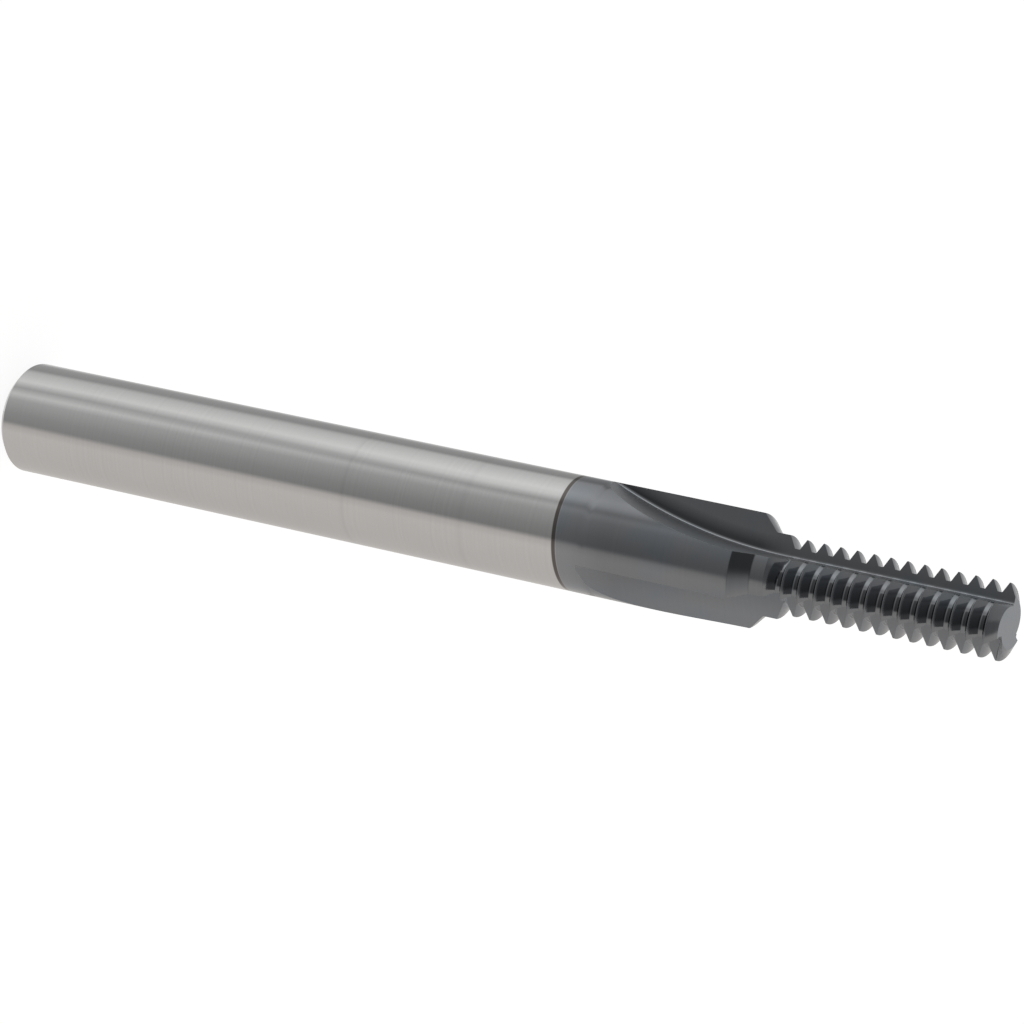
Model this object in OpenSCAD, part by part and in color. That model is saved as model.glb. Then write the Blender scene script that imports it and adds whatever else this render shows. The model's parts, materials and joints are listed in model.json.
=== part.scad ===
// Solid carbide thread mill with straight flutes and a full row of 60 degree teeth.
// It stands on the end of its shank: the axis is +Z, the origin is the centre of that end face
// and the cutting end is on top. Seen from the tip it turns counter-clockwise in the cut.

/* [Shank] */
// Diameter of the ground shank
shank_d = 6.35; // [5.5:0.05:8]
// Length of the full shank diameter, from the end face to the neck cone
shank_length = 48.32; // [44:0.01:60]
// Width of the 45 degree chamfer on the shank end
shank_chamfer = 0.4; // [0.1:0.05:0.8]

/* [Neck] */
// Angle of the neck cone to the axis
neck_angle = 45; // [25:1:60]
// Diameter of the plain shoulder between the cone and the first tooth
shoulder_d = 4.57; // [4.3:0.01:5]
// Length of that shoulder
shoulder_length = 0.835; // [0.4:0.005:2]

/* [Teeth] */
// Diameter over the tooth crests at the cutting edges
cutter_d = 4.4; // [4.2:0.01:4.8]
// Number of teeth in a row
tooth_count = 13; // [4:1:16]
// Distance from one crest to the next, the pitch of the thread that is cut
pitch = 1; // [0.9:0.01:1.2]
// Distance from the edge of the shoulder to the middle of the first crest
lead_length = 1.04; // [1:0.005:1.5]
// Height of a tooth from root to crest
tooth_depth = 0.58; // [0.45:0.01:0.6]
// Width of the flat on a crest
crest_flat = 0.06; // [0.04:0.005:0.2]
// Angle of a tooth flank to the plane across the axis
flank_angle = 30; // [27:0.5:30]
// Distance from the middle of the last crest to the end face
tip_length = 0.435; // [0.3:0.005:0.6]

/* [Flutes] */
// Number of flutes, each with one cutting edge
flute_count = 3; // [3:1:3]
// Turn of the first cutting edge about the axis
edge_turn = 63; // [0:1:119]
// Depth of the flute along the rake face, below the crests
flute_depth = 1.09; // [0.95:0.01:1.2]
// Length of the flute at full depth, from the tip
flute_length = 13.45; // [13.2:0.05:18]
// Slope of the flute floor away from the rake face
floor_slope = 4; // [2:0.5:12]
// Radius of the hollow corner at the foot of the rake face
flute_corner = 0.15; // [0.05:0.01:0.25]
// Radius of the grinding wheel, which shapes the run-out into the shank
wheel_r = 30.8; // [20:0.1:40]

/* [Relief] */
// How far the centre of a ground land lies off the axis, so that it clears the cut
relief_offset = 0.28; // [0.1:0.01:0.32]
// How far ahead of its cutting edge that centre lies
relief_turn = 30; // [15:1:50]

/* [Hidden] */
$fn = 96;

shank_r = shank_d / 2;
shoulder_r = shoulder_d / 2;
cutter_r = cutter_d / 2;
root_r = cutter_r - tooth_depth;

// Heights along the axis
shoulder_z = shank_length + (shank_r - shoulder_r) / tan(neck_angle);
teeth_z = shoulder_z + shoulder_length;
flank_length = tooth_depth * tan(flank_angle);
first_crest_z = teeth_z + lead_length;
last_crest_z = first_crest_z + (tooth_count - 1) * pitch;
tip_z = last_crest_z + tip_length;
tip_r = cutter_r - (tip_length - crest_flat / 2) / tan(flank_angle);

// The flute in the plane across the axis: x runs out along the rake face, y away from it
corner_x = cutter_r - flute_depth;
corner_span = 90 + floor_slope;
corner_steps = 6;
corner_tangent = flute_corner / tan(corner_span / 2);
flute_reach = 1.2 * shank_r;
wheel_centre_x = corner_x + wheel_r;
straight_z = tip_z - flute_length;
runout_turn = acos((wheel_centre_x - flute_reach) / wheel_r);

// A land is cut from a sector that starts ahead of its cutting edge and ends in the next flute
land_turn = 360 / flute_count;
land_lead = 15;
land_overlap = 4;
land_reach = 2 * shank_r;
land_middle = land_lead - (land_turn + land_overlap) / 2;
land_apex = root_r / 4;
past_end = 1;

// Radius about the centre of the relief that passes through r at the cutting edge
function relieved(r) = sqrt(r * r + relief_offset * relief_offset - 2 * r * relief_offset * cos(relief_turn));

function floor_x(y) = corner_x - y * tan(floor_slope);

// Outline of the ground hollow, with the round corner at the foot of the rake face
function flute_outline() = concat(
    [[flute_reach, 0]],
    [for (i = [0 : corner_steps])
        let (turn = (180 - corner_span) * i / corner_steps)
        [corner_x + corner_tangent - flute_corner * sin(turn), flute_corner - flute_corner * cos(turn)]],
    [[floor_x(flute_reach), flute_reach], [flute_reach, flute_reach]]);

// Round blank: shank with its end chamfer, neck cone, shoulder and the flank that starts the teeth
module blank() {
    core_r = root_r / 2;
    rotate_extrude()
        polygon([
            [0, 0],
            [shank_r - shank_chamfer, 0],
            [shank_r, shank_chamfer],
            [shank_r, shank_length],
            [shoulder_r, shoulder_z],
            [shoulder_r, teeth_z],
            [core_r, teeth_z + (shoulder_r - core_r) * tan(flank_angle)],
            [0, teeth_z + (shoulder_r - core_r) * tan(flank_angle)]]);
}

// Row of annular teeth, turned about the off-centre axis of the relief
module tooth_row() {
    half_crest = crest_flat / 2;
    translate([relief_offset * cos(relief_turn), relief_offset * sin(relief_turn), 0])
        rotate_extrude()
            polygon(concat(
                [[0, shoulder_z], [relieved(root_r), shoulder_z]],
                [for (i = [0 : tooth_count - 1])
                    let (z = first_crest_z + i * pitch)
                    each [
                        [relieved(root_r), z - half_crest - flank_length],
                        [relieved(cutter_r), z - half_crest],
                        [relieved(cutter_r), z + half_crest],
                        if (i < tooth_count - 1) [relieved(root_r), z + half_crest + flank_length]]],
                [[relieved(tip_r), tip_z], [0, tip_z]]));
}

// One land of teeth: a sector of the relieved row
module land() {
    intersection() {
        tooth_row();
        translate([0, 0, shoulder_z - past_end])
            linear_extrude(tip_z - shoulder_z + 2 * past_end)
                polygon([
                    -land_apex * [cos(land_middle), sin(land_middle)],
                    for (turn = [land_lead, land_middle, 2 * land_middle - land_lead])
                        land_reach * [cos(turn), sin(turn)]]);
    }
}

// The hollow that the wheel grinds: straight to the tip, and on the wheel's own arc into the shank
module flute() {
    translate([0, 0, straight_z])
        linear_extrude(flute_length + past_end)
            polygon(flute_outline());
    translate([wheel_centre_x, 0, straight_z])
        rotate([90, 180, 0])
            rotate_extrude(angle = runout_turn)
                polygon([for (p = flute_outline()) [wheel_centre_x - p.x, -p.y]]);
}

module thread_mill() {
    color("slategray")
        difference() {
            union() {
                blank();
                for (i = [0 : flute_count - 1])
                    rotate([0, 0, edge_turn + i * land_turn])
                        land();
            }
            for (i = [0 : flute_count - 1])
                rotate([0, 0, edge_turn + i * land_turn])
                    flute();
        }
}

thread_mill();
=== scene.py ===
# %% [markdown]
# # A solid carbide thread mill
#
# This lesson dresses a thread mill: a rod of tungsten carbide with a plain ground shank, three straight
# flutes and rows of small teeth that cut a screw thread into a hole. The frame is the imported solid. It
# stands on the end of its shank with the tip on top, and everything below is placed by it.

# %% Load the frame
import json
import math

import bmesh
import bpy
from mathutils import Matrix, Vector


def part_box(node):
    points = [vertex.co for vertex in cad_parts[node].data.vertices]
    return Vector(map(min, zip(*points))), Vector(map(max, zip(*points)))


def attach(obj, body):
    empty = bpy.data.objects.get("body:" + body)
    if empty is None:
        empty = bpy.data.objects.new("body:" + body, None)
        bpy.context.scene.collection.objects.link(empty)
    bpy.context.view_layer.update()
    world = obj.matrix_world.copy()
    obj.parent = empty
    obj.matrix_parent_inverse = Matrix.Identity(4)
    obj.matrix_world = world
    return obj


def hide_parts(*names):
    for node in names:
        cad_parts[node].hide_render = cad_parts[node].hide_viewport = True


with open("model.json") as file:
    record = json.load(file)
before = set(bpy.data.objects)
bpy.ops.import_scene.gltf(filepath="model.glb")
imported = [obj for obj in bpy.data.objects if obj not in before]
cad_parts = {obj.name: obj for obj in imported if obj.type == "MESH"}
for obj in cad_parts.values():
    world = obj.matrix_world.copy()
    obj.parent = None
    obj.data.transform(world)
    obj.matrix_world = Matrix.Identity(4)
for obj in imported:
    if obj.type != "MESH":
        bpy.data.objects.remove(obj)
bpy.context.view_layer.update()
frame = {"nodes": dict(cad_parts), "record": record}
tool_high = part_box("thread_mill")[1]
mm = 0.001
print("frame:", sorted(frame["nodes"]), "height in mm:", round(tool_high.z / mm, 3))

# %% [markdown]
# ## Sizes
#
# The shank's radius comes from its mount in the record and the length from the frame. The rest are the
# sizes that the grinder would set, and the heights follow from them, counted back from the tip.

# %% Sizes in millimetres
mounts = {mount["name"]: mount for mount in frame["record"]["mounts"]}
shank_r = mounts["shank"]["dims"]["r_mm"]
shank_chamfer = 0.4
neck_angle = math.radians(45)
shoulder_r = 4.57 / 2
shoulder_length = 0.835
cutter_r = 4.4 / 2
tooth_count = 13
pitch = 1.0
lead_length = 1.04
tooth_depth = 0.58
crest_flat = 0.06
flank_angle = math.radians(30)
tip_length = 0.435

root_r = cutter_r - tooth_depth
half_crest = crest_flat / 2
flank_length = tooth_depth * math.tan(flank_angle)
root_flat = pitch - crest_flat - 2 * flank_length
tip_z = tool_high.z / mm
last_crest_z = tip_z - tip_length
first_crest_z = last_crest_z - (tooth_count - 1) * pitch
teeth_z = first_crest_z - lead_length
first_root_z = teeth_z + (shoulder_r - root_r) * math.tan(flank_angle)
shoulder_z = teeth_z - shoulder_length
shank_length = shoulder_z - (shank_r - shoulder_r) / math.tan(neck_angle)
tip_r = cutter_r - (tip_length - half_crest) / math.tan(flank_angle)
print("shank to", round(shank_length, 3), "first crest at", round(first_crest_z, 3))

# %% [markdown]
# The flutes are made as a grinding wheel with a slightly conical rim would cut them. Along the teeth it
# runs straight, and at the end of its stroke its own radius shapes the run-out into the shank. The lands
# are relieved: they are turned about a centre off the axis and fall away behind their cutting edges.

# %% Sizes of the flutes and the relief
flute_count = 3
third = 2 * math.pi / flute_count
first_edge = math.radians(63)
flute_depth = 1.09
flute_length = 13.45
corner_x = cutter_r - flute_depth
floor_slope = math.radians(4)
flute_corner = 0.15
corner_sweep = math.pi / 2 - floor_slope
corner_tangent = flute_corner / math.tan((math.pi - corner_sweep) / 2)
wheel_r = 30.8
wheel_centre_x = corner_x + wheel_r
straight_z = tip_z - flute_length
relief_offset = 0.28
relief_turn = math.radians(30)


def runout_height(ground_x, surface_x):
    """Height at which the wheel that grinds to ground_x comes out through surface_x."""
    radius = wheel_centre_x - ground_x
    return straight_z - math.sqrt(radius**2 - (wheel_centre_x - surface_x) ** 2)


touch_y = shank_r * math.tan(floor_slope)
touch_x = math.sqrt(shank_r**2 - touch_y**2)
touch_z = runout_height(corner_x - touch_y * math.tan(floor_slope), touch_x)
rake_exit_z = runout_height(corner_x + corner_tangent, shank_r)
print("wheel leaves the shank at", round(touch_z, 3), "and the rake face ends at", round(rake_exit_z, 3))

# %% [markdown]
# ## Nodes written as sums
#
# Node trees are wires between small boxes, which makes a long formula hard to read. The two classes here
# let a formula stay a formula: a Wire is one output socket, and adding or comparing wires puts the Math
# nodes into the tree. Every other kind of node comes from the sheet's add method.


# %% Wires and sheets
class Sheet:
    """A node tree that is filled from Python."""

    def __init__(self, tree):
        self.tree = tree
        tree.nodes.clear()

    def add(self, kind, settings=None, sockets=None, out=0):
        """Adds a node: its settings are set first, then its sockets get values or wires."""
        made = self.tree.nodes.new(kind)
        for name, value in (settings or {}).items():
            if name == "stops":
                self.set_stops(made.color_ramp, value)
            else:
                setattr(made, name, value)
        for name, value in (sockets or {}).items():
            if isinstance(value, Wire):
                self.tree.links.new(value.socket, made.inputs[name])
            else:
                made.inputs[name].default_value = value
        return Wire(self, made.outputs[out]) if made.outputs else None

    @staticmethod
    def set_stops(ramp, stops):
        """Gives a colour ramp its stops, each a place from 0 to 1 and a colour."""
        while len(ramp.elements) < len(stops):
            ramp.elements.new(0.5)
        for element, (place, colour) in zip(ramp.elements, stops):
            element.position = place
            element.color = (*colour, 1.0)

    def math(self, operation, *terms):
        return self.add("ShaderNodeMath", {"operation": operation}, dict(enumerate(terms)))


class Wire:
    """One output socket. Sums and comparisons on it add Math nodes to its sheet."""

    def __init__(self, sheet, socket):
        self.sheet = sheet
        self.socket = socket

    def other(self, name):
        """Another output of the node that this wire comes from."""
        return Wire(self.sheet, self.socket.node.outputs[name])

    def __add__(self, term):
        return self.sheet.math("ADD", self, term)

    def __sub__(self, term):
        return self.sheet.math("SUBTRACT", self, term)

    def __rsub__(self, term):
        return self.sheet.math("SUBTRACT", term, self)

    def __mul__(self, term):
        return self.sheet.math("MULTIPLY", self, term)

    def __truediv__(self, term):
        return self.sheet.math("DIVIDE", self, term)

    def __rtruediv__(self, term):
        return self.sheet.math("DIVIDE", term, self)

    def __gt__(self, term):
        return self.sheet.math("GREATER_THAN", self, term)

    def __lt__(self, term):
        return self.sheet.math("LESS_THAN", self, term)

    def __neg__(self):
        return self * -1.0

    __radd__ = __add__
    __rmul__ = __mul__

    def sin(self):
        return self.sheet.math("SINE", self)

    def cos(self):
        return self.sheet.math("COSINE", self)

    def root(self):
        """Square root, with nothing below zero."""
        return self.sheet.math("SQRT", self.at_least(0.0))

    def turn_of(self, across):
        """Angle of the point whose places are across and this wire."""
        return self.sheet.math("ARCTAN2", self, across)

    def at_least(self, term):
        return self.sheet.math("MAXIMUM", self, term)

    def at_most(self, term):
        return self.sheet.math("MINIMUM", self, term)

    def towards(self, end, share):
        """This wire at share 0, and end at share 1."""
        return self + (end - self) * share

    def ramp(self, low, high):
        """0 below low, 1 above high, and straight between them."""
        sockets = {"Value": self, "From Min": low, "From Max": high}
        return self.sheet.add("ShaderNodeMapRange", {"clamp": True}, sockets)


print("node helpers ready")

# %% [markdown]
# ## The outline
#
# A lathe hand would describe this tool by its outline: shank, cone, shoulder and a comb of teeth. It
# could be turned with a Screw modifier, but the flutes and the relief would then have to be cut out of a
# round mesh. Here the outline is a chain of points that carries two radii: that of the round blank, and
# that of the teeth at the cutting edge. A node tree then works out every section from them.


# %% The outline with its small edge radii
def rounded(corners, steps):
    """Points of the outline through corners (height, radius, edge radius), with arcs at the edges."""
    points = [Vector(corners[0][:2])]
    for before, corner, after in zip(corners, corners[1:], corners[2:]):
        place = Vector(corner[:2])
        back = (Vector(before[:2]) - place).normalized()
        ahead = (Vector(after[:2]) - place).normalized()
        half = back.angle(ahead) / 2
        centre = place + (back + ahead).normalized() * corner[2] / math.sin(half)
        start = place + back * corner[2] / math.tan(half) - centre
        sweep = (math.pi - 2 * half) * (1 if back.cross(ahead) < 0 else -1)
        for step in range(steps + 1):
            points.append(centre + Matrix.Rotation(sweep * step / steps, 2) @ start)
    points.append(Vector(corners[-1][:2]))
    return points


fine_edge = 0.02
soft_edge = 0.05
foot_edge = 0.2
neck_edge = 0.15
cap_rim = 0.12
corners = [
    (0, shank_r - shank_chamfer - cap_rim, 0),
    (0, shank_r - shank_chamfer, soft_edge),
    (shank_chamfer, shank_r, soft_edge),
    (shank_length, shank_r, neck_edge),
    (shoulder_z, shoulder_r, foot_edge),
    (teeth_z, shoulder_r, fine_edge),
]
for tooth in range(tooth_count):
    crest_z = first_crest_z + tooth * pitch
    corners += [
        (crest_z - half_crest - flank_length - root_flat if tooth else first_root_z, root_r, soft_edge),
        (crest_z - half_crest - flank_length, root_r, soft_edge),
        (crest_z - half_crest, cutter_r, fine_edge),
        (crest_z + half_crest, cutter_r, fine_edge),
    ]
corners += [(tip_z, tip_r, fine_edge), (tip_z, tip_r - cap_rim, 0)]
outline = rounded(corners, steps=4)

runout_step = 0.16
neck_start_z = shank_length - neck_edge * math.tan(neck_angle / 2)
runout_rows = int((neck_start_z - rake_exit_z) / runout_step)
runout_step = (neck_start_z - rake_exit_z) / runout_rows
shank_rows = 6
lead_rows = 6
lead_root = first_crest_z - half_crest - flank_length - first_root_z
outline += [Vector((touch_z * row / shank_rows, shank_r)) for row in range(1, shank_rows + 1)]
outline += [Vector((rake_exit_z + row * runout_step, shank_r)) for row in range(runout_rows)]
outline += [Vector((first_root_z + lead_root * row / lead_rows, root_r)) for row in range(1, lead_rows)]
rows = sorted(outline, key=lambda point: round(point.x, 6))
print("outline rows:", len(rows))

# %% [markdown]
# The chain of points becomes a bare mesh with two named attributes. Between the shoulder and the first
# tooth both radii count, because the shoulder's flank stays round while the teeth are relieved.


# %% The outline as a mesh
def outline_mesh(points):
    mesh = bpy.data.meshes.new("thread_mill")
    edges = [(place, place + 1) for place in range(len(points) - 1)]
    mesh.from_pydata([(0, 0, point.x) for point in points], edges, [])
    round_r = mesh.attributes.new("round_radius", "FLOAT", "POINT")
    tooth_r = mesh.attributes.new("tooth_radius", "FLOAT", "POINT")
    for place, point in enumerate(points):
        flank_r = shoulder_r - (point.x - teeth_z) / math.tan(flank_angle)
        toothed = point.x > first_root_z - soft_edge
        round_r.data[place].value = max(flank_r, 0) if toothed else point.y
        tooth_r.data[place].value = point.y if toothed else 0.0
    return mesh


tool = bpy.data.objects.new("thread_mill_body", outline_mesh(rows))
bpy.context.scene.collection.objects.link(tool)
print("outline mesh points:", len(tool.data.vertices))

# %% [markdown]
# ## The ground form
#
# One third of the tool is a grid: its rows are the outline's points, and its columns walk round the
# section. They follow the land back from the cutting edge, the floor of the flute, the small hollow
# corner and the rake face of the next land. The sizes that the grinder sets are the tree's named inputs.

# %% The inputs of the form
form_sizes = {
    "First edge": first_edge,
    "Corner distance": corner_x,
    "Corner radius": flute_corner,
    "Floor slope": floor_slope,
    "Wheel radius": wheel_r,
    "Full depth from": straight_z,
    "Relief offset": relief_offset,
    "Relief turn": relief_turn,
}


def empty_form():
    tree = bpy.data.node_groups.new("ground form", "GeometryNodeTree")
    tree.interface.new_socket("Outline", in_out="INPUT", socket_type="NodeSocketGeometry")
    for name in form_sizes:
        tree.interface.new_socket(name, in_out="INPUT", socket_type="NodeSocketFloat")
    tree.interface.new_socket("Finish", in_out="INPUT", socket_type="NodeSocketMaterial")
    tree.interface.new_socket("Tool", in_out="OUTPUT", socket_type="NodeSocketGeometry")
    return tree


form = empty_form()
print("inputs of the form:", ", ".join(form_sizes))

# %% [markdown]
# The section changes with the height. The land's radius follows from the relief, and the floor from the
# wheel, which climbs on its own arc in the run-out. Where the floor comes out through the land has no
# short formula, so that place is found by halving an interval again and again.


# %% The section at the height of each row
class Section:
    """The ground section at the height of each row, in wires."""

    halvings = 16

    def __init__(self, size, height, round_r, tooth_r):
        self.size = size
        self.round_r = round_r
        self.edge_r = round_r.at_least(tooth_r)
        self.slope = size["Floor slope"].sin() / size["Floor slope"].cos()
        self.centre = size["Corner distance"] + size["Wheel radius"]
        self.lift = (size["Full depth from"] - height).at_least(0.0)
        offset = size["Relief offset"]
        nearer = tooth_r * offset * size["Relief turn"].cos() * 2.0
        self.about = tooth_r * tooth_r + offset * offset - nearer

    def land_at(self, turn):
        """Radius of the land at a turn behind its cutting edge."""
        lead = turn + self.size["Relief turn"]
        side = self.size["Relief offset"] * lead.sin()
        relieved = self.size["Relief offset"] * lead.cos() + (self.about - side * side).root()
        return self.round_r.at_least(relieved)

    def ground_x(self, straight_x):
        """How far out the wheel grinds at this height, if it grinds to straight_x along the teeth."""
        radius = self.centre - straight_x
        return self.centre - (radius * radius - self.lift * self.lift).root()

    def floor_x(self, y):
        """How far out the floor lies at y away from the rake face."""
        return self.ground_x(self.size["Corner distance"] - y * self.slope)

    def past_land(self, y):
        """1 where the floor at y lies outside the land, and 0 where it lies inside."""
        x = self.floor_x(y)
        return (x * x + y * y).root() > self.land_at(third - y.turn_of(x))

    def heel(self):
        """Where the floor comes out through the land, and its turn behind the cutting edge."""
        low = self.floor_x(0.0).at_most(self.edge_r) * self.slope
        high = self.edge_r * 1.05
        for _ in range(self.halvings):
            middle = (low + high) * 0.5
            far = self.past_land(middle)
            low = middle.towards(low, far)
            high = high.towards(middle, far)
        heel_y = (low + high) * 0.5
        return heel_y, third - heel_y.turn_of(self.floor_x(heel_y).at_most(self.edge_r))


print("the heel is found to one part in", 2**Section.halvings)

# %% [markdown]
# Now the walk round the section. Each stretch gets its own columns, so that its ends always lie on the
# edges of the tool, and a column's share of its stretch gives its place. In the flute the place is
# counted out along the rake face and away from it, and is then turned into an angle and a radius.

# %% The walk round the section
land_columns = 36
floor_columns = 10
corner_columns = 6
rake_columns = 6
stretch_ends = [0]
for stretch in (land_columns, floor_columns, corner_columns, rake_columns):
    stretch_ends.append(stretch_ends[-1] + stretch)
columns = stretch_ends[-1]


def walk(section, column):
    """The turn behind the cutting edge and the radius at each column."""
    size = section.size
    shares = [column.ramp(start, end) for start, end in zip(stretch_ends, stretch_ends[1:])]
    land_share, floor_share, corner_share, rake_share = shares
    in_flute = column > stretch_ends[1] + 0.5
    in_corner = column > stretch_ends[2] + 0.5
    heel_y, heel_turn = section.heel()
    land_turn = heel_turn * land_share

    corner = size["Corner radius"]
    sweep = math.pi / 2 - size["Floor slope"]
    arc = sweep * (1.0 - corner_share)
    tangent = corner * (sweep * 0.5).sin() / (sweep * 0.5).cos()
    floor_y = heel_y.towards(corner - corner * sweep.cos(), floor_share)
    cut_y = floor_y.towards(corner - corner * arc.cos(), in_corner)
    straight_x = size["Corner distance"] - floor_y * section.slope
    straight_x = straight_x.towards(size["Corner distance"] + tangent - corner * arc.sin(), in_corner)
    cut_x = section.ground_x(straight_x).at_most(section.edge_r).towards(section.edge_r, rake_share)
    cut_r = (cut_x * cut_x + cut_y * cut_y).root().at_most(section.edge_r)

    turn = land_turn.towards(third - cut_y.turn_of(cut_x), in_flute)
    return turn, section.land_at(land_turn).towards(cut_r, in_flute)


print("columns round a third:", columns)

# %% [markdown]
# The grid is bent to that walk. The third is then placed three times round the axis, the copies are made
# real and the seams are merged.

# %% The node tree of the form
merge_gap = 0.0005 * mm


def third_of_tool(sheet, given):
    """The grid, bent to one third of the tool."""
    grid_size = {"Size X": columns, "Size Y": len(rows) - 1}
    grid_points = {"Vertices X": columns + 1, "Vertices Y": len(rows)}
    grid = sheet.add("GeometryNodeMeshGrid", None, {**grid_size, **grid_points})
    spot = sheet.add("ShaderNodeSeparateXYZ", None, {0: sheet.add("GeometryNodeInputPosition")})
    row = sheet.math("ROUND", spot.other("Y") + (len(rows) - 1) / 2)

    def of_row(value):
        sockets = {"Geometry": given, "Value": value, "Index": row}
        return sheet.add("GeometryNodeSampleIndex", {"data_type": "FLOAT", "domain": "POINT"}, sockets)

    def attribute(name):
        return sheet.add("GeometryNodeInputNamedAttribute", {"data_type": "FLOAT"}, {"Name": name})

    size = {name: given.other(name) for name in form_sizes}
    height = of_row(spot.other("Z"))
    section = Section(size, height, of_row(attribute("round_radius")), of_row(attribute("tooth_radius")))
    turn, radius = walk(section, spot + columns / 2)
    angle = size["First edge"] - turn
    sockets = {"X": radius * angle.cos() * mm, "Y": radius * angle.sin() * mm, "Z": height * mm}
    place = sheet.add("ShaderNodeCombineXYZ", None, sockets)
    bent = sheet.add("GeometryNodeSetPosition", None, {"Geometry": grid, "Position": place})
    return sheet.add("GeometryNodeFlipFaces", None, {"Mesh": bent})


def fill_form(sheet):
    given = sheet.add("NodeGroupInput")
    spots = sheet.add("GeometryNodeMeshLine", None, {"Count": flute_count, "Offset": (0, 0, 0)})
    spin = sheet.add("ShaderNodeCombineXYZ", None, {"Z": sheet.add("GeometryNodeInputIndex") * -third})
    sockets = {"Points": spots, "Instance": third_of_tool(sheet, given), "Rotation": spin}
    thirds = sheet.add("GeometryNodeInstanceOnPoints", None, sockets)
    whole = sheet.add("GeometryNodeRealizeInstances", None, {"Geometry": thirds})
    merged = sheet.add("GeometryNodeMergeByDistance", None, {"Geometry": whole, "Distance": merge_gap})
    sockets = {"Geometry": merged, "Material": given.other("Finish")}
    dressed = sheet.add("GeometryNodeSetMaterial", None, sockets)
    sheet.add("NodeGroupOutput", None, {"Tool": dressed})


fill_form(Sheet(form))
print("nodes in the form tree:", len(form.nodes))

# %% [markdown]
# ## The finish
#
# The shank is bare ground carbide, a hard grey metal with fine rings from grinding. The cutting end wears
# a thin hard coating, which makes it darker and a little blue. It could be two materials, but the coating
# starts at a line across one smooth surface, so a single material that mixes the two by height keeps that
# line fine. The masks come first: every point gets its height, its distance from the axis, its place in
# the flute, counted along the rake face and away from it, and its place in the groove between two teeth.

# %% Places on the tool, as masks
coat_z = 37.485
coat_tilt = (-0.077, 0.03)
line_width = 0.15
rake_band = (-0.002, 0.01)
corner_highlight_band = (0.04, 0.09)
floor_band = (-0.004, 0.004)
root_band = (-0.03, 0.06)
front_groove = (0.46, 0.72)
back_groove = (0.36, 0.72)
front_turn = (0.26, 0.72)
back_turn = (0.72, 0.78)


def mark(value, low, high, soft):
    """1 between low and high, falling to 0 over the soft width outside them."""
    return value.ramp(low - soft, low) * (1.0 - value.ramp(high, high + soft))


def coordinates(sheet, kind):
    """The three parts of a texture coordinate."""
    whole = sheet.add("ShaderNodeTexCoord", None, None, kind)
    parts = sheet.add("ShaderNodeSeparateXYZ", None, {0: whole})
    return parts, parts.other("Y"), parts.other("Z")


def places(sheet):
    x, y, z = [part / mm for part in coordinates(sheet, "Object")]
    radius = (x * x + y * y).root()
    lead = math.radians(10)
    ahead = sheet.math("FLOORED_MODULO", y.turn_of(x) - first_edge + lead, third) - lead
    along = radius * ahead.cos()
    away = radius * ahead.sin()
    lift = (straight_z - z).at_least(0.0)

    def ground(straight_x):
        reach = wheel_centre_x - straight_x
        return wheel_centre_x - (reach * reach - lift * lift).root()

    behind = sheet.math("FLOORED_MODULO", first_edge - y.turn_of(x), third)
    lag = behind + relief_turn
    side = relief_offset * lag.sin()
    about = root_r**2 + relief_offset**2 - 2 * root_r * relief_offset * math.cos(relief_turn)
    root_gap = radius - relief_offset * lag.cos() - (about - side * side).root()
    groove = sheet.math("FLOORED_MODULO", z - first_crest_z, pitch) / pitch
    in_root = mark(root_gap, *root_band, 0.03) * (z > first_root_z) * (z < last_crest_z)
    above = along - ground(corner_x)
    floor_gap = along - ground(corner_x - away * math.tan(floor_slope))
    in_flute = (z > touch_z) * (z < tip_z - fine_edge)
    past_exit = z.ramp(rake_exit_z, rake_exit_z + 0.6)
    at_foot = (1.0 - above.ramp(0.05, 0.1)) * (above > -0.1)
    return {
        "x": x,
        "y": y,
        "z": z,
        "coat_height": z + x * coat_tilt[0] + y * coat_tilt[1] - coat_z,
        "away": away,
        "above_foot": above,
        "rake": mark(away, *rake_band, 0.002) * above.ramp(0.1, 0.16) * in_flute,
        # Where the painted highlight goes: the fine light line in the hollow corner at the foot of the
        # rake face.
        "corner": mark(away, *corner_highlight_band, 0.025) * at_foot * past_exit * in_flute,
        "floor": mark(floor_gap, *floor_band, 0.004) * (away > 0.1) * in_flute,
        # Where painted shade and a painted highlight go on the roots between the teeth.
        "root_front_shade": in_root * mark(groove, *front_groove, 0.03) * mark(behind, *front_turn, 0.06),
        "root_back_highlight": in_root * mark(groove, *back_groove, 0.03) * behind.ramp(*back_turn),
    }


print("coat starts at", coat_z, "and the flutes at", round(touch_z, 2))

# %% [markdown]
# Now the colours. The rings are noise that reads the height only, so it runs round the axis, and a wide
# noise adds faint clouds. A brown line marks where the coating starts. The flute floors are duller, and
# painted shade darkens them beside the rake face. The rest is painted light and shade in the base colour:
# painted shade on the foot of the rake face, a fine painted highlight in the hollow corner beside it, and
# on the roots between the teeth painted shade at the front and a painted highlight at the back.


# %% The finish of the carbide
def blend(sheet, factor, low, high):
    """A mix of two colours, each a wire or three numbers."""
    ends = {name: end if isinstance(end, Wire) else (*end, 1.0) for name, end in (("A", low), ("B", high))}
    return sheet.add("ShaderNodeMix", {"data_type": "RGBA"}, {"Factor": factor, **ends}, "Result")


def scaled(sheet, colour, factor):
    """A colour times a value."""
    return sheet.add("ShaderNodeVectorMath", {"operation": "SCALE"}, {0: colour, "Scale": factor})


def noise(sheet, x, y, z, detail):
    """Noise from 0 to 1 at a point that is given by three wires or numbers."""
    place = sheet.add("ShaderNodeCombineXYZ", None, {"X": x, "Y": y, "Z": z})
    return sheet.add("ShaderNodeTexNoise", None, {"Vector": place, "Scale": 1.0, "Detail": detail})


faint_rings = (23.8, 31.5)
floor_shade = (0.8, 2.2)
bare_metal = (0.60, 0.597, 0.592)
coating = (0.222, 0.231, 0.243)
blue_coating = (0.195, 0.222, 0.250)
brown_line = (0.085, 0.074, 0.066)


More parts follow.
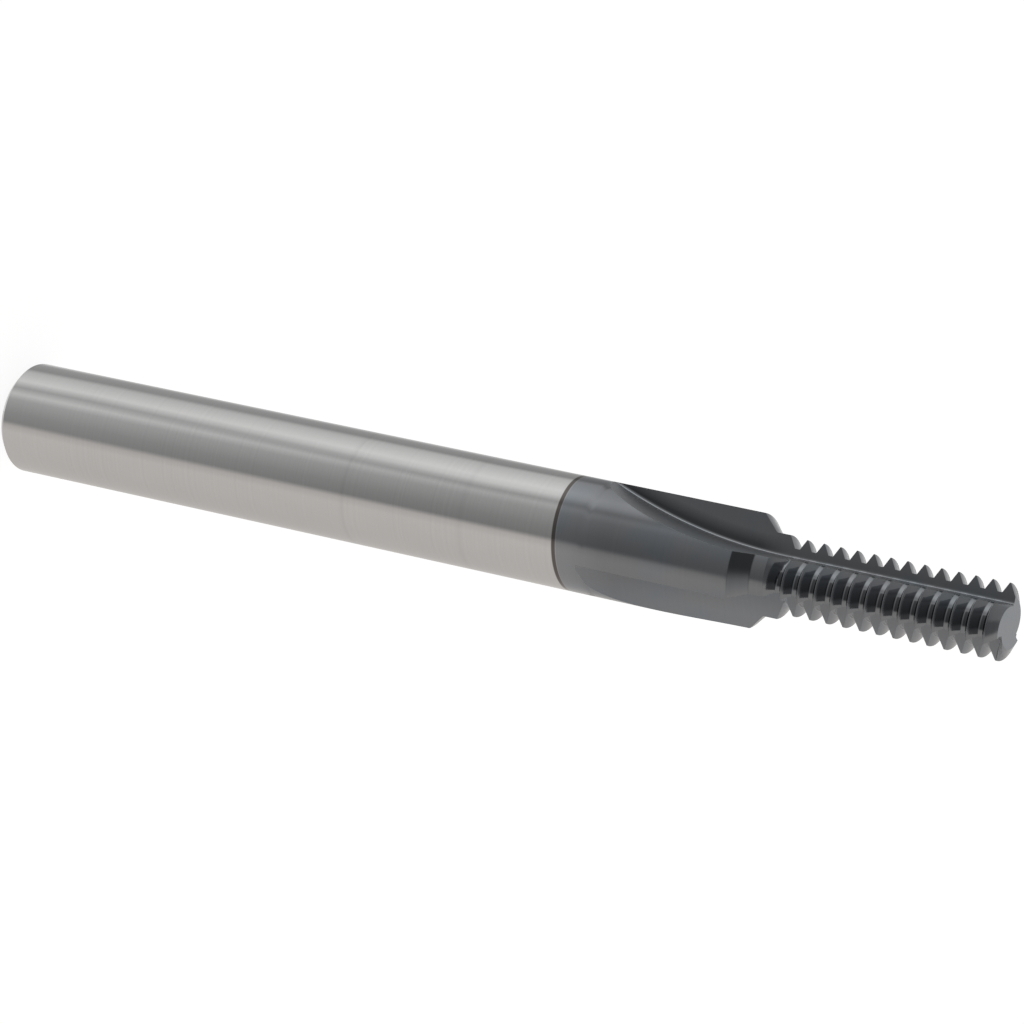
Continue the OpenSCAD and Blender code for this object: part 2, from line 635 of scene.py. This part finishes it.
def carbide_finish():
    material = bpy.data.materials.new("ground_carbide")
    material.use_nodes = True
    sheet = Sheet(material.node_tree)
    place = places(sheet)
    x, y, z = place["x"], place["y"], place["z"]
    coated = place["coat_height"].ramp(0.0, 0.12)

    rings = noise(sheet, 0.0, 0.0, z * 5.0, 4.0)
    clouds = noise(sheet, x * 0.5, y * 0.5, z * 0.22, 2.0)
    tints = noise(sheet, x * 0.45 + 7.0, y * 0.45, z * 0.3, 2.0)

    bare_level = 0.91 + rings * 0.12 + clouds * 0.06
    for ring_z in faint_rings:
        bare_level = bare_level - mark(z, ring_z, ring_z + 0.1, 0.25) * 0.04
    bare = scaled(sheet, bare_metal, bare_level)

    thin = 1.0 - place["coat_height"].ramp(0.3, 3.0)
    along_teeth = z.ramp(shank_length, teeth_z)
    # Painted shade on the foot of the rake face, weaker along the teeth.
    rake_foot_shade = place["rake"] * (1.0 - place["above_foot"].ramp(0.3, 1.0)) * (1.0 - along_teeth * 0.7)
    coat_level = 0.93 + rings * 0.12 + clouds * 0.08 + thin * 0.26 - along_teeth * 0.05
    # Painted shade on the flute floors: darkest beside the rake face, fading out away from it.
    coat_level = coat_level + place["floor"] * (place["away"].ramp(*floor_shade) * 0.14 - 0.15)
    # Painted shade on the front half of each root between the teeth, and a painted highlight on its back
    # half.
    coat_level = coat_level * (1.0 - place["root_front_shade"] * 0.62) + place["root_back_highlight"] * 0.26
    # A painted highlight along the hollow corner at the foot of the rake face.
    coat_level = coat_level * (1.0 - rake_foot_shade * 0.6) + place["corner"] * (0.8 - along_teeth * 0.3)
    coat = scaled(sheet, blend(sheet, tints.ramp(0.5, 0.68) * 0.5, coating, blue_coating), coat_level)

    edge = mark(place["coat_height"], -line_width, 0.03, 0.06)
    colour = blend(sheet, edge * 0.9, blend(sheet, coated, bare, coat), brown_line)
    metal = 1.0 - place["floor"] * 0.4
    rough = 0.09 + coated * 0.05 + place["floor"] * 0.24 + place["corner"] * 0.15 + (rings - 0.5) * 0.06
    grain = sheet.add("ShaderNodeBump", None, {"Strength": 0.1, "Distance": 0.00002, "Height": rings})
    sockets = {"Base Color": colour, "Metallic": metal, "Roughness": rough, "Normal": grain}
    surface = sheet.add("ShaderNodeBsdfPrincipled", None, sockets)
    sheet.add("ShaderNodeOutputMaterial", None, {"Surface": surface})
    return material


carbide = carbide_finish()
print("nodes in the finish:", len(carbide.node_tree.nodes))

# %% [markdown]
# ## From tree to mesh
#
# The evaluated object is turned into a plain mesh, the two open ends are closed, and edges at which the
# faces turn by more than 18 degrees are marked sharp.


# %% The finished mesh
def ground_mesh(piece, tree):
    modifier = piece.modifiers.new("ground form", "NODES")
    modifier.node_group = tree
    for socket in tree.interface.items_tree:
        if socket.in_out == "INPUT" and socket.name in form_sizes:
            modifier[socket.identifier] = form_sizes[socket.name]
        if socket.in_out == "INPUT" and socket.name == "Finish":
            modifier[socket.identifier] = carbide
    shown = piece.evaluated_get(bpy.context.evaluated_depsgraph_get())
    mesh = bpy.data.meshes.new_from_object(shown)
    piece.modifiers.clear()
    return mesh


def close_and_sharpen(mesh, sharp_turn):
    work = bmesh.new()
    work.from_mesh(mesh)
    bmesh.ops.dissolve_degenerate(work, dist=merge_gap, edges=work.edges)
    rims = [edge for edge in work.edges if edge.is_boundary]
    bmesh.ops.holes_fill(work, edges=rims, sides=0)
    bmesh.ops.recalc_face_normals(work, faces=work.faces)
    for face in work.faces:
        face.smooth = True
    for edge in work.edges:
        edge.smooth = edge.is_manifold and edge.calc_face_angle() < sharp_turn
    open_edges = sum(not edge.is_manifold for edge in work.edges)
    work.to_mesh(mesh)
    work.free()
    return open_edges


tool.data = ground_mesh(tool, form)
open_edges = close_and_sharpen(tool.data, sharp_turn=math.radians(18))
print("faces:", len(tool.data.polygons), "open edges:", open_edges)

# %% [markdown]
# ## The studio
#
# Polished metal shows the room more than itself: the long bands on the shank are mirror images of lights
# and walls. Lamps and boards could stand round the tool, but a rod with its axis upright mirrors each
# direction round it at one angle, so a world that changes with that angle gives every band its place.
# The panels are listed by their angle from the camera side, and their levels were set by comparing the
# bands with the photograph. One row is for what the far end of the shank mirrors, one for the rest of the
# tool's length, and one for the light from above, which the cone, the flanks and the tip face show. The
# patch overhead is dark, and the tooth flanks that face both the tip and the camera mirror it.


# %% The panels of the studio
cool = (1.0, 1.0, 1.0)
warm = (1.035, 0.99, 0.955)

end_panels = (
    (-180, 0.72, cool),
    (-168, 0.62, warm),
    (-42, 0.71, warm),
    (-29, 0.60, warm),
    (-20, 0.33, cool),
    (0, 0.38, cool),
    (30, 0.53, cool),
    (43, 0.78, cool),
    (59, 0.50, cool),
    (77, 0.91, cool),
    (108, 0.67, cool),
    (120, 0.38, cool),
    (150, 0.42, cool),
    (180, 0.87, cool),
)
middle_panels = (
    (-180, 0.72, cool),
    (-168, 0.62, warm),
    (-42, 0.70, warm),
    (-29, 0.61, warm),
    (-20, 0.26, cool),
    (0, 0.31, cool),
    (30, 0.44, cool),
    (42, 0.57, cool),
    (52, 0.45, cool),
    (66, 0.86, cool),
    (78, 0.97, cool),
    (114, 0.67, cool),
    (124, 0.35, cool),
    (148, 0.40, cool),
    (180, 0.85, cool),
)
high_panels = (
    (-180, 0.95, cool),
    (-120, 0.72, warm),
    (-75, 0.72, warm),
    (-38, 0.44, cool),
    (-12, 0.13, cool),
    (0, 0.09, cool),
    (50, 0.10, cool),
    (106, 0.42, cool),
    (136, 0.50, cool),
    (156, 0.80, cool),
    (180, 0.95, cool),
)
dark_top = (0.23, 0.23, 0.235)
middle_rise = (-34.5, -30)
high_rise = (-8, 32)
top_rise = (74, 79)


def panel_ramp(sheet, around, panels):
    stops = [((turn + 180) / 360, [level * part for part in tone]) for turn, level, tone in panels]
    return sheet.add("ShaderNodeValToRGB", {"stops": stops}, {"Fac": around.ramp(-math.pi, math.pi)})


def studio_world():
    world = bpy.data.worlds.new("studio")
    bpy.context.scene.world = world
    world.use_nodes = True
    sheet = Sheet(world.node_tree)
    look_x, look_y, look_z = coordinates(sheet, "Generated")
    around = (-look_x).turn_of(-look_y)
    upward = sheet.math("ARCSINE", look_z)
    to_middle, to_high, to_top = [
        upward.ramp(*map(math.radians, rise)) for rise in (middle_rise, high_rise, top_rise)
    ]
    far_end = panel_ramp(sheet, around, end_panels)
    studio = blend(sheet, to_middle, far_end, panel_ramp(sheet, around, middle_panels))
    studio = blend(sheet, to_high, studio, panel_ramp(sheet, around, high_panels))
    studio = blend(sheet, to_top, studio, dark_top)
    seen = sheet.add("ShaderNodeLightPath", None, None, "Is Camera Ray")
    light = sheet.add("ShaderNodeBackground", None, {"Color": blend(sheet, seen, studio, (1.0, 1.0, 1.0))})
    sheet.add("ShaderNodeOutputWorld", None, {"Surface": light})
    return len(world.node_tree.nodes)


print("nodes in the studio:", studio_world())

# %% [markdown]
# The floor is white paper. Most of its white is glow, which keeps it as white as the backdrop, and the
# rest is a matt surface that the studio lights, so the tool still casts its soft shadow round the end it
# stands on. Mirror rays skip it, because the bands on the shank come from the studio.


# %% The floor
def white_floor(half, glow_share, matt):
    bpy.ops.mesh.primitive_plane_add(size=2 * half)
    paper = bpy.context.object
    paper.name = "floor"
    paper.visible_glossy = False
    paint = bpy.data.materials.new("white_paper")
    paint.use_nodes = True
    sheet = Sheet(paint.node_tree)
    sockets = {
        "Base Color": (matt, matt, matt, 1),
        "Roughness": 1.0,
        "Specular IOR Level": 0.0,
        "Emission Color": (1, 1, 1, 1),
        "Emission Strength": glow_share,
    }
    surface = sheet.add("ShaderNodeBsdfPrincipled", None, sockets)
    sheet.add("ShaderNodeOutputMaterial", None, {"Surface": surface})
    paper.data.materials.append(paint)
    return paper


floor = white_floor(half=2.0, glow_share=0.88, matt=0.3)
print("floor:", floor.name)

# %% [markdown]
# The camera has a long lens and was fitted to the outline of the tool in the photograph. It looks down
# from beside the tip end, and it is rolled so far that the rod lies across the picture.

# %% The camera
camera_place = (-0.000013, -0.23961, 0.16933)
look_aside = math.radians(0.09)
look_down = math.radians(29.65)
picture_roll = math.radians(102.01)
camera_data = bpy.data.cameras.new("camera")
camera = bpy.data.objects.new("camera", camera_data)
bpy.context.scene.collection.objects.link(camera)
camera_data.lens = 176.1
camera_data.sensor_width = 36.0
camera_data.clip_start = 0.01
swing = Matrix.Rotation(look_aside, 4, "Z")
tilt = Matrix.Rotation(math.pi / 2 - look_down, 4, "X")
roll = Matrix.Rotation(picture_roll, 4, "Z")
camera.matrix_world = Matrix.Translation(camera_place) @ swing @ tilt @ roll
bpy.context.scene.camera = camera
bpy.context.scene.view_settings.view_transform = "Standard"
print("camera at", [round(place, 4) for place in camera.location])

# %% [markdown]
# ## Hand over
#
# The tool is one piece, so it rides on the root body and takes the place of the plain solid.

# %% Hand over to the frame
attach(tool, "root")
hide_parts("thread_mill")
